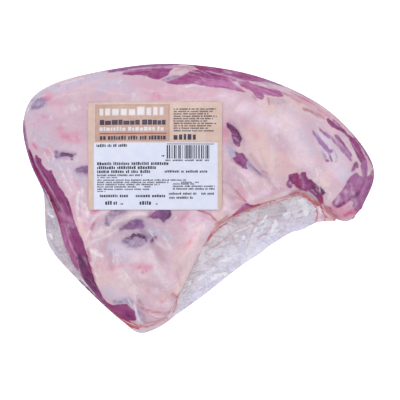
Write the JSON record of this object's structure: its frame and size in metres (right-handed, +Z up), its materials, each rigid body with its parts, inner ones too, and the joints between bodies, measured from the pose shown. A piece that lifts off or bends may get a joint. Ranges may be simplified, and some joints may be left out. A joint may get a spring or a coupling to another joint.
{
  "type": "vacuum packed raw beef tri-tip",
  "caption": "Raw beef tri-tip lying fat cap up, curved like a boomerang and shrunk tight in a clear vacuum bag with a paper label stuck on top.",
  "frame": {"origin": "on the surface that the pack lies on, under the middle of its bounding box", "axes": "+X towards the nose of the muscle, along its longest extent; +Y towards its long rounded side; +Z up, through the fat cap and the label"},
  "size_m": [0.2689, 0.2067, 0.0496],
  "materials": {
    "bagged_beef": "pink-white beef fat with dark red lean, wet and glossy under clear shrunk film",
    "label_paper": "matt printed paper, light brown header over a white field"
  },
  "bodies": {
    "root": {"bagged_tri_tip": "bagged_beef", "label": "label_paper"}
  },
  "joints": []
}
